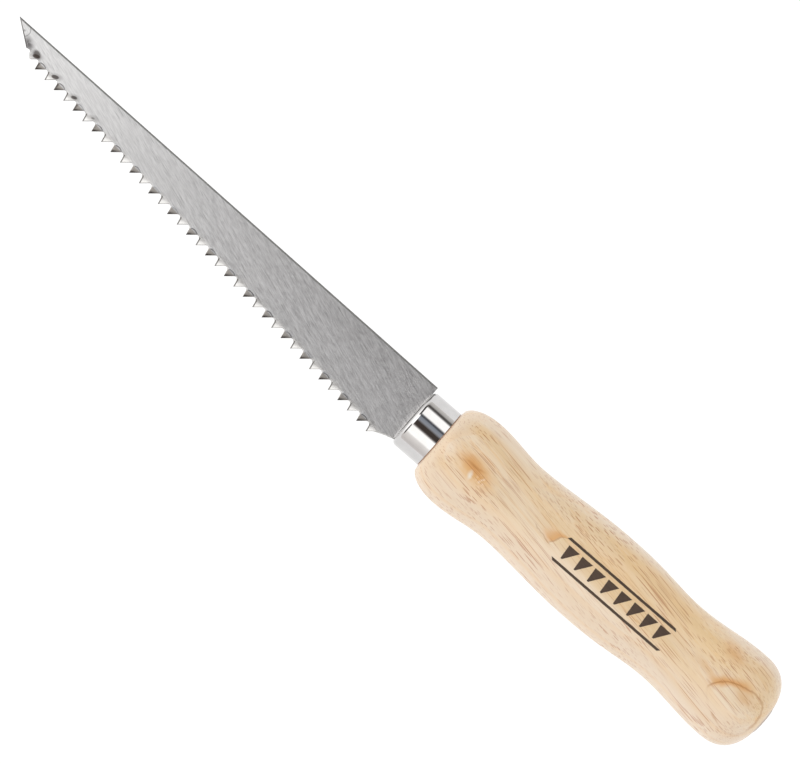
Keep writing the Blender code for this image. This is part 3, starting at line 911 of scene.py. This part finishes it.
def handle_profile():
    """(x, half width) from the neck's front end back to the flat of the butt."""
    neck_front = HANDLE_HIGH.x
    chamfer = 0.8 * MM
    profile = [(neck_front, NECK_RADIUS - chamfer), (neck_front - chamfer, NECK_RADIUS)]
    profile.append((SHOULDER_X, NECK_RADIUS))
    profile += arc(
        SHOULDER_X - SHOULDER_ROUND, SHOULDER_RADIUS - SHOULDER_ROUND, SHOULDER_ROUND, 0, 60, 4
    )
    swell_end, butt_start = GRIP_STATIONS[0][0], GRIP_STATIONS[-1][0]
    length = SHOULDER_X - BUTT_X
    swell_rings, middle_rings, butt_rings = 40, 190, 40
    for step in range(1, swell_rings):
        behind = swell_end * (1 - math.cos(math.pi / 2 * step / swell_rings))
        if behind > SHOULDER_ROUND:
            profile.append((SHOULDER_X - behind, grip_half_width(behind)))
    for step in range(middle_rings + 1):
        behind = between(swell_end, butt_start, step / middle_rings)
        profile.append((SHOULDER_X - behind, grip_half_width(behind)))
    for step in range(1, butt_rings):
        share = math.sin(math.pi / 2 * step / butt_rings)
        behind = between(butt_start, length, share)
        if grip_half_width(behind) > BUTT_FLAT_RADIUS:
            profile.append((SHOULDER_X - behind, grip_half_width(behind)))
    profile.append((BUTT_X, BUTT_FLAT_RADIUS))
    return profile


def handle_grip(mat):
    profile = handle_profile()
    grip = piece_from(turned(profile, 192, grip_squash, closed=False), "handle_grip", mat, 35.0)
    resin_low, resin_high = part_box("tang_resin")
    gap = Vector((0, FIT_GAP, FIT_GAP))
    low = resin_low - gap - Vector((FIT_GAP, 0, 0))
    high = resin_high + gap
    high.x = HEEL_X
    cut(grip, block_mesh(low, high))
    cut(grip, rod_mesh(PIN_HOLE_RADIUS, HANDLE_LOW.z, HANDLE_HIGH.z, PIN_X))
    return grip


# Wood of the handle

GRAIN_TURN = math.radians(10)  # the grain leans this much from the handle's length
PITH_DEPTH = 22.0  # mm from the saw down to the middle of the tree's growth rings
RING_WIDTH = 4.2  # mm from one growth ring to the next
SHOULDER, BUTT = SHOULDER_X / MM, BUTT_X / MM
CREAM, TAN = linear(232, 211, 182), linear(226, 196, 151)
HONEY, AMBER = linear(228, 186, 128), linear(214, 158, 94)

# Middles of the upper side's figure, in mm
KNOT_HALO, KNOT_CORE, KNOT_RIDGE = (-35.5, 0.0), (-34.4, -0.7), (-34.6, -0.9)
# the knot's pale fleck and dots: a painted highlight
KNOT_GLINT, KNOT_GLINT_DOTS = (-35.0, 1.8), (-38.2, 1.1)
CURL_X, CURL_Y = -63.8, -12.3  # where its two edges cross the X and the Y axis
CURL_LEAN = (-0.35, 0.22)  # how much they lean there
OVAL_X, OVAL_Y = -129.3, 2.3
OVAL_SIZE = (16.4, 12.2)  # to where it fades out; its line lies half way
OVAL_TAPER = 0.043  # the share by which it narrows for each mm towards the blade
OVAL_LIT, OVAL_INNER = (-122.5, -4.0), (-130.4, -1.3)
OVAL_FAINT_FRONT, OVAL_FAINT_REAR = (-122.8, 5.5), (-134.0, 7.5)
BUTT_SMUDGE, BUTT_TRAIL = (-120.9, -8.8), (-117.2, -0.9)


class Grain:
    """The wood's own places in mm: u along its wavy grain, v and w across it."""

    def __init__(self, shade):
        wobble = shade.cloud(shade.place(GRAIN_TURN, (60.0, 18.0, 18.0)), 1.0)
        self.shade = shade
        self.shift = shade.scaled(wobble, 4.0, -2.0)
        self.u, v, w = shade.split(shade.place(GRAIN_TURN))
        self.v = shade.plus(v, self.shift)
        self.w = shade.plus(w, self.shift)

    def stretched(self, length, width, offset=0.0, deep=1.0):
        """Places divided by a length and a width, for a pattern of that size."""
        a = self.shade.times(self.u, 1 / length)
        b = self.shade.scaled(self.v, 1 / width, offset)
        c = self.shade.times(self.w, 1 / (width * deep))
        return self.shade.join(a, b, c)

    def rings(self):
        """Growth rings round a pith that lies below the saw, each darkest at its outer side."""
        far = self.shade.length(self.v, self.shade.plus(self.w, PITH_DEPTH))
        turn = self.shade.math("FRACT", self.shade.times(far, 1 / RING_WIDTH))
        return self.shade.hump(turn, 0.55, 0.94, 0.95, 1.0)

    def pores(self, length, width, offset, size):
        """Open pores, cut along their length."""
        away, tint = self.shade.cells(self.stretched(length, width, offset, 1.8))
        own = self.shade.split(tint)[0]
        reach = self.shade.scaled(own, 0.6 * size, 0.4 * size)
        return self.shade.span(self.shade.minus(away, reach), -0.05, 0.04, 1.0, 0.0)


def painted_sheen_and_gold(shade, colour, x, across):
    """Painted sheen: paler wood along both sides and at the front shoulder, where light falls on them.
    Golden wood before the butt.
    """
    # painted sheen along both sides of the grip
    teeth_side_sheen = shade.span(across, 1.0, 8.5, 0.14, 0.75)
    back_side_sheen = shade.span(across, -9.0, -13.5, 0.0, 0.6)
    sides = shade.larger(teeth_side_sheen, back_side_sheen)
    # painted light on the front shoulder
    front = shade.span(x, SHOULDER - 8.0, SHOULDER - 2.0, 0.0, 0.65)
    colour = shade.mix(shade.larger(sides, front), colour, linear(228, 209, 188))
    golden = shade.hump(across, 0.0, -5.0, -8.0, -13.0)
    golden = shade.times(golden, shade.hump(x, -60.0, -95.0, -117.0, -126.0))
    return shade.tint(colour, golden, 0.3, (234, 194, 130))


def knot(shade, place):
    """The knot behind the ferrule, as the amount, share and tone of each of its stains. Its pale fleck
    and dots are a painted highlight.
    """
    glint_dots, _ = shade.cells(shade.place(0.0, (1.1, 1.1, 1.1)))
    glint_dots = shade.times(shade.span(glint_dots, 0.45, 0.30), shade.blot(place, KNOT_GLINT_DOTS, (2.6, 2.2)))
    return [
        (shade.blot(place, KNOT_HALO, (9.5, 5.4), -GRAIN_TURN), 0.95, linear(226, 176, 112)),
        (shade.blot(place, KNOT_CORE, (6.6, 3.0), -GRAIN_TURN), 1.0, AMBER),
        (shade.blot(place, KNOT_RIDGE, (4.6, 0.6), 0.1), 0.75, linear(188, 126, 66)),
        # painted highlight: the pale fleck and dots on the knot
        (shade.blot(place, KNOT_GLINT, (0.9, 1.9), 0.1), 0.95, linear(236, 224, 208)),
        (glint_dots, 0.8, linear(242, 216, 186)),
    ]


def curl(shade, x, y):
    """The amber curl in front of the mark: a patch that ends on a bowed line with a stem."""
    low = shade.math("MINIMUM", shade.plus(y, 1.5), 0.0)
    past = shade.minus(shade.scaled(y, CURL_LEAN[0], x), CURL_X)
    past = shade.scaled(shade.times(low, low), 1.2, past)
    over = shade.minus(shade.scaled(x, CURL_LEAN[1], y), CURL_Y)
    window = shade.times(shade.span(over, 0.6, -1.2), shade.span(y, -4.2, -1.8))
    patch = shade.times(shade.span(past, -0.4, 0.5), shade.span(past, 5.8, 0.0), window)
    line = shade.times(shade.stripe(past, 0.0, 0.06, 0.35), window)
    stem = shade.times(shade.stripe(over, 0.0, 0.04, 0.3), shade.stripe(past, 3.2, 2.4, 4.6))
    return [
        (patch, 0.85, linear(216, 158, 92)),
        (shade.larger(line, stem), 0.45, linear(172, 116, 64)),
    ]


def butt_oval(shade, place, x, y, streak):
    """The oval where a growth ring meets the butt's swell, and the stains beside it."""
    egg = shade.scaled(x, OVAL_TAPER, 1.0 - OVAL_TAPER * OVAL_X)
    egg = shade.join(x, shade.times(shade.minus(y, OVAL_Y), egg), 0.0)
    oval = shade.blot(egg, (OVAL_X, 0.0), OVAL_SIZE)
    lit = shade.blot(place, OVAL_LIT, (17.0, 9.0), -0.5)
    glow = shade.times(shade.hump(oval, 0.14, 0.50, 0.50, 0.72), shade.span(lit, 0.05, 0.7))
    front = shade.span(shade.blot(place, OVAL_FAINT_FRONT, (5.0, 5.5)), 0.0, 0.5, 1.0, 0.15)
    rear = shade.span(shade.blot(place, OVAL_FAINT_REAR, (6.5, 5.5)), 0.0, 0.4, 1.0, 0.3)
    line = shade.times(shade.stripe(oval, 0.50, 0.005, 0.05), shade.span(lit, 0.0, 0.6, 0.7, 1.0))
    line = shade.times(line, shade.times(front, rear), shade.span(streak, 0.35, 0.5, 0.6, 1.0))
    return [
        (shade.blot(place, BUTT_SMUDGE, (6.0, 3.4), -GRAIN_TURN), 0.6, linear(214, 160, 98)),
        (shade.blot(place, BUTT_TRAIL, (7.5, 1.7), -GRAIN_TURN), 0.45, linear(212, 160, 94)),
        (glow, 0.9, linear(214, 156, 86)),
        (shade.blot(place, OVAL_INNER, (5.5, 3.0), -GRAIN_TURN), 0.6, linear(214, 168, 112)),
        (line, 0.65, linear(176, 118, 64)),
    ]


def figure(shade, colour, streak):
    """What the wood shows on its upper side alone."""
    wander = shade.add("ShaderNodeTexNoise", {"Vector": shade.place(0.0, (3.0,) * 3), "Scale": 1.0})
    warp = shade.vector("SUBTRACT", wander.outputs["Color"], (0.5, 0.5, 0.5))
    place = shade.vector("ADD", shade.place(), shade.vector("MULTIPLY", warp, (1.6, 1.6, 0.0)))
    x, y, z = shade.split(place)
    upper = shade.span(z, 15.0, 19.0)
    stains = knot(shade, place) + curl(shade, x, y) + butt_oval(shade, place, x, y, streak)
    for amount, share, tone in stains:
        colour = shade.mix(shade.times(amount, upper, share), colour, tone)
    return colour


def end_tones(shade, colour, x, band):
    """A line where the wood meets the ferrule, partly stain and partly painted shade of the gap, and
    darker end grain at the butt, partly painted shade of the end face.
    """
    seam_stain_and_shade = shade.span(x, SHOULDER - 0.30, SHOULDER - 0.08, 0.0, 0.6)
    colour = shade.mix(seam_stain_and_shade, colour, linear(190, 128, 98))
    # darker end grain, partly painted shade where the butt's end turns away from the light
    end = shade.span(x, BUTT + 1.0, BUTT + 0.2, 0.0, 0.8)
    end = shade.times(end, shade.span(band, 0.35, 0.65, 0.8, 1.0))
    return shade.mix(end, colour, linear(132, 106, 90))


def hardwood(name):
    """Pale, open-pored hardwood under a thin satin lacquer."""
    shade = Shade(name)
    grain = Grain(shade)

    # Wide bands, narrow streaks and fibres along the grain
    band = shade.cloud(grain.stretched(110.0, 6.0), 2.0, 0.5)
    streak = shade.cloud(grain.stretched(60.0, 1.5, 7.0), 3.0, 0.6)
    fibre = shade.cloud(grain.stretched(14.0, 0.3, 3.0), 2.0, 0.6)
    hair = shade.cloud(grain.stretched(18.0, 0.34, 9.0, 3.0), 1.0, 0.5)
    colour = shade.mix(shade.span(band, 0.36, 0.64), CREAM, TAN)
    colour = shade.mix(shade.span(streak, 0.50, 0.74, 0.0, 0.6), colour, HONEY)
    colour = shade.mix(shade.span(fibre, 0.42, 0.75, 0.0, 0.3), colour, TAN)
    colour = shade.mix(shade.span(fibre, 0.46, 0.28, 0.0, 0.4), colour, linear(240, 222, 198))
    colour = shade.mix(shade.span(hair, 0.60, 0.72, 0.0, 0.3), colour, linear(184, 134, 88))

    x, y, _ = shade.split(shade.place())
    colour = painted_sheen_and_gold(shade, colour, x, shade.scaled(grain.shift, 0.8, y))
    colour = shade.mix(shade.times(grain.rings(), 0.22), colour, HONEY)
    colour = figure(shade, colour, streak)

    # Pores, crowded in places and fainter towards the butt
    crowd = shade.cloud(grain.stretched(30.0, 5.0, 11.0), 2.0)
    coarse = shade.times(grain.pores(30.0, 0.40, 1.0, 0.36), shade.span(crowd, 0.35, 0.60, 0.45, 1.0))
    small = shade.times(grain.pores(13.0, 0.34, 5.0, 0.32), shade.span(crowd, 0.40, 0.65, 0.3, 0.75))
    dark = shade.times(shade.larger(coarse, small), shade.span(x, BUTT + 5.0, BUTT + 13.0, 0.5, 1.0))
    colour = shade.tint(colour, dark, 0.6, (170, 98, 50))

    colour = end_tones(shade, colour, x, band)
    shade.set(Base_Color=colour, Coat_Weight=0.5, Coat_Roughness=0.25, IOR=1.5)
    rough = shade.scaled(fibre, 0.16, 0.38)
    shade.set(Roughness=shade.scaled(dark, 0.2, rough))
    height = shade.scaled(dark, -0.15, shade.times(fibre, 0.25))
    shade.set(Normal=shade.bump(height, 0.05 * MM, 0.7))
    return shade.mat


# Printed pattern

MARK_X = -85.5 * MM
MARK_Y = 0.5 * MM
MARK_LENGTH = 39.0 * MM
MARK_HALF = 4.0 * MM
RAIL = 0.76 * MM
MARK_TEETH = 8
MARK_TOOTH_HALF = 2.1 * MM  # half its height
MARK_TOOTH_TOP = 0.5 * MM  # width of its blunt tip
MARK_TOOTH_BACK, MARK_TOOTH_TIP = 0.8, 0.72  # how far along the pitch its foot and tip end
INK_LIFT = 0.03 * MM
INK_SINK = 0.03 * MM
INK_GRAIN = 0.5 * MM  # size of the raggedness of its edges
INK_STRAY = 0.05  # how many mm they stray
INK_APART = Vector((7.3, 4.1, 2.6))  # from the noise for X to that for Y


def grip_top(x, y):
    """Height of the wood's upper side."""
    half = grip_half_width(SHOULDER_X - x)
    return AXIS_Z + math.sqrt(half**2 - y**2) * grip_squash(x)


def ink_patch(bm, corners, long_steps, wide_steps):
    """A thin sheet of ink on the wood between four corners, given in order round it."""
    a, b, c, d = (Vector(corner) for corner in corners)
    layers = []
    for lift in (INK_LIFT, -INK_SINK):
        grid = []
        for i in range(long_steps + 1):
            start, end = between(a, b, i / long_steps), between(d, c, i / long_steps)
            line = []
            for j in range(wide_steps + 1):
                point = between(start, end, j / wide_steps)
                if i in (0, long_steps) or j in (0, wide_steps):
                    spot = Vector((point.x, point.y, 0)) / INK_GRAIN
                    ragged = Vector((noise.noise(spot), noise.noise(spot + INK_APART)))
                    point = point + ragged * INK_STRAY * MM
                line.append(bm.verts.new((point.x, point.y, grip_top(point.x, point.y) + lift)))
            grid.append(line)
        for near, far in zip(grid, grid[1:]):
            for j in range(wide_steps):
                bm.faces.new((near[j], far[j], far[j + 1], near[j + 1]))
        layers.append(grid)
    rims = []
    for grid in layers:
        rim = [line[0] for line in grid] + grid[-1][1:]
        rim += [line[-1] for line in reversed(grid[:-1])] + list(reversed(grid[0][1:-1]))
        rims.append(rim)
    for index in range(len(rims[0])):
        after = (index + 1) % len(rims[0])
        bm.faces.new((rims[0][index], rims[0][after], rims[1][after], rims[1][index]))


def ink(name):
    shade = Shade(name)
    worn = shade.cloud(shade.place(GRAIN_TURN, (3.0, 0.3, 0.3)), 3.0, 0.7)
    tone = shade.mix(shade.span(worn, 0.3, 0.62), linear(60, 44, 33), linear(76, 57, 42))
    tone = shade.mix(shade.span(worn, 0.70, 0.80, 0.0, 0.6), tone, linear(170, 138, 104))
    shade.set(Base_Color=tone, Roughness=shade.span(worn, 0.3, 0.7, 0.5, 0.65))
    shade.set(Normal=shade.bump(worn, 0.02 * MM, 0.5))
    return shade.mat


def handle_mark(mat):
    """Two rails with a row of saw teeth between them."""
    bm = bmesh.new()
    low, high = MARK_X - MARK_LENGTH / 2, MARK_X + MARK_LENGTH / 2
    for side in (1, -1):
        near, far = MARK_Y + side * (MARK_HALF - RAIL), MARK_Y + side * MARK_HALF
        ink_patch(bm, ((low, near), (high, near), (high - RAIL, far), (low + RAIL, far)), 60, 3)
    pitch = (MARK_LENGTH - 2 * RAIL) / MARK_TEETH
    foot, tip = MARK_Y - MARK_TOOTH_HALF, MARK_Y + MARK_TOOTH_HALF
    for index in range(MARK_TEETH):
        start = low + RAIL + index * pitch
        end = start + pitch * MARK_TOOTH_BACK
        point = start + pitch * MARK_TOOTH_TIP
        top = point - MARK_TOOTH_TOP
        ink_patch(bm, ((start, foot), (end, foot), (point, tip), (top, tip)), 8, 8)
    return piece_from(bm, "handle_mark", mat, 40.0)


# Hidden pieces that keep their CAD shape


def resin():
    shade = Shade("cured_resin")
    cloudy = shade.cloud(shade.place(0.4, (3.0, 2.0, 2.0)), 3.0)
    bubbles, _ = shade.cells(shade.place(0.0, (0.9, 0.9, 0.9)))
    tone = shade.mix(shade.span(cloudy, 0.3, 0.7), (0.50, 0.34, 0.14), (0.66, 0.50, 0.27))
    tone = shade.mix(shade.span(bubbles, 0.1, 0.2, 0.4, 0.0), tone, (0.78, 0.66, 0.45))
    shade.set(Base_Color=tone, Roughness=shade.span(cloudy, 0.3, 0.7, 0.25, 0.4))
    shade.set(Normal=shade.bump(shade.span(bubbles, 0.08, 0.22), 0.08 * MM, 0.5))
    return shade.mat


def dress_cad_node(name, mat):
    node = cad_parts[name]
    node.data.materials.clear()
    node.data.materials.append(mat)


# Stage

# The studio above the saw, as strips that run along it. Each is the angle from straight up,
# towards the teeth, in degrees, and how bright it is there.
STUDIO = (
    (-180, (0.90, 0.90, 0.90)),
    (-100, (0.95, 0.92, 0.90)),
    (-86, (0.82, 0.80, 0.77)),
    (-76, (0.60, 0.58, 0.56)),
    (-72, (0.16, 0.15, 0.14)),
    (-66, (0.09, 0.085, 0.08)),
    (-62, (0.50, 0.49, 0.48)),
    (-58, (1.66, 1.65, 1.63)),
    (-32, (1.66, 1.65, 1.63)),
    (-28, (0.45, 0.45, 0.46)),
    (-26, (0.10, 0.105, 0.12)),
    (-21.5, (0.12, 0.13, 0.15)),
    (-18.5, (0.34, 0.375, 0.43)),
    (-9, (0.41, 0.44, 0.50)),
    (-5, (0.28, 0.275, 0.28)),
    (-1, (0.075, 0.060, 0.052)),
    (13, (0.075, 0.060, 0.052)),
    (17, (0.33, 0.31, 0.30)),
    (22, (1.70, 1.69, 1.66)),
    (48, (1.70, 1.69, 1.66)),
    (55, (1.15, 1.12, 1.09)),
    (66, (1.02, 0.98, 0.95)),
    (81, (0.86, 0.82, 0.80)),
    (92, (0.96, 0.92, 0.90)),
    (180, (0.90, 0.90, 0.90)),
)
WINDOW_HALF = (20.0, 27.0)  # degrees to either side of straight up where the white window ends
WINDOW_START = (0.16, 0.26)  # lean towards the saw's point, as a sine, where it starts
RING_START = (0.24, 0.34)  # the same for the dark ring beside and past the window
RING_HALF = (1.1, 1.35)  # how far it reaches to either side, in radians
RING_TONE = (0.10, 0.095, 0.095)
FRONT_START = (0.60, 0.72)  # lean where the white front wall starts
FRONT_DROP = 0.14  # it starts so much further out on the back's side
FRONT_TONE = (1.7, 1.69, 1.68)
REAR_START = (0.45, 0.65)  # lean away from the saw's point where the rear wall starts
REAR_TONE = (0.9, 0.9, 0.9)
WHITE = (1.0, 1.0, 1.0, 1.0)
BACKDROP_STRENGTH = 1.1

TABLE_SIZE = 3.0
LAMP_SIDES = (0.25, 0.25)
LAMP_POWER = 0.10
LAMP_PLACE = (0.25, 0.0, 0.4)
LAMP_AIM = (0.12, 0.0, 0.0)


def studio():
    shade = Shade.of_world("studio")
    way = shade.add("ShaderNodeTexCoord", {}).outputs["Generated"]
    x, y, z = shade.split(way)
    angle = shade.math("ARCTAN2", y, z)
    strips = shade.add("ShaderNodeValToRGB", {0: shade.scaled(angle, 0.5 / math.pi, 0.5)})
    stops = strips.color_ramp.elements
    stops.remove(stops[-1])
    for index, (degrees, tone) in enumerate(STUDIO):
        place = degrees / 360 + 0.5
        stop = stops[0] if index == 0 else stops.new(place)
        stop.position = place
        stop.color = (*tone, 1.0)
    colour = strips.outputs[0]
    away = shade.math("ABSOLUTE", angle)
    inner, outer = (math.radians(degrees) for degrees in WINDOW_HALF)
    window = shade.times(shade.span(x, *WINDOW_START), shade.span(away, outer, inner))
    ring = shade.times(shade.span(x, *RING_START), shade.span(away, RING_HALF[1], RING_HALF[0]))
    colour = shade.mix(ring, colour, RING_TONE)
    colour = shade.mix(window, colour, FRONT_TONE)
    lean = shade.minus(x, shade.span(angle, -0.40, -0.50, 0.0, FRONT_DROP))
    colour = shade.mix(shade.span(lean, *FRONT_START), colour, FRONT_TONE)
    behind = shade.times(x, -1.0)
    colour = shade.mix(shade.span(behind, *REAR_START), colour, REAR_TONE)
    glow = shade.add("ShaderNodeBackground", {"Color": colour}).outputs[0]
    backdrop = {"Color": WHITE, "Strength": BACKDROP_STRENGTH}
    white = shade.add("ShaderNodeBackground", backdrop).outputs[0]
    seen = shade.add("ShaderNodeLightPath", {}).outputs["Is Camera Ray"]
    both = shade.add("ShaderNodeMixShader", {0: seen, 1: glow, 2: white}).outputs[0]
    shade.add("ShaderNodeOutputWorld", {"Surface": both})


def floor():
    bm = bmesh.new()
    bmesh.ops.create_grid(bm, x_segments=1, y_segments=1, size=TABLE_SIZE)
    shade = Shade("lit_table")
    shade.set(Base_Color=(0.15, 0.15, 0.15, 1.0), Roughness=0.9)
    shade.set(Emission_Color=WHITE, Emission_Strength=0.92)
    piece_from(bm, "floor", shade.mat)


def lamp():
    """A small light that falls on the point."""
    data = bpy.data.lights.new("point_lamp", "AREA")
    data.shape = "RECTANGLE"
    data.size, data.size_y = LAMP_SIDES
    data.energy = LAMP_POWER
    made = bpy.data.objects.new("point_lamp", data)
    made.location = LAMP_PLACE
    made.rotation_euler = (Vector(LAMP_AIM) - Vector(LAMP_PLACE)).to_track_quat("-Z", "Y").to_euler()
    made.visible_camera = False
    bpy.context.scene.collection.objects.link(made)


def camera():
    data = bpy.data.cameras.new("camera")
    data.sensor_width = SENSOR_WIDTH
    data.lens = SENSOR_WIDTH * CAMERA_HEIGHT / VIEW_WIDTH
    data.clip_start, data.clip_end = 0.05, 20.0
    made = bpy.data.objects.new("camera", data)
    right = Vector((-math.cos(CAMERA_TURN), -math.sin(CAMERA_TURN), 0))
    up = Vector((math.sin(CAMERA_TURN), -math.cos(CAMERA_TURN), 0))
    turn = Matrix((right, up, right.cross(up))).transposed().to_4x4()
    made.matrix_world = Matrix.Translation(CAMERA_AIM + Vector((0, 0, CAMERA_HEIGHT))) @ turn
    bpy.context.scene.collection.objects.link(made)
    bpy.context.scene.camera = made


def main():
    steel = brushed_steel("brushed_steel", BLADE_TONE, 0.32, toothed=True)
    wood = hardwood("pale_hardwood")
    for piece, node, slot in (
        (blade_plate(steel), "blade", "blade_steel"),
        (blade_tang(steel), "blade", "blade_steel"),
        (ferrule_shell(chrome("chrome_plate")), "ferrule", "ferrule_plating"),
        (handle_grip(wood), "handle", "handle_wood"),
    ):
        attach(piece, "root")
        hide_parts(node)
    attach(handle_mark(ink("printed_ink")), "root")
    dress_cad_node("tang_resin", resin())
    dress_cad_node("tang_pin", brushed_steel("pin_steel", PIN_TONE, 0.42))
    floor()
    studio()
    lamp()
    camera()
    bpy.context.scene.view_settings.view_transform = "Standard"


main()
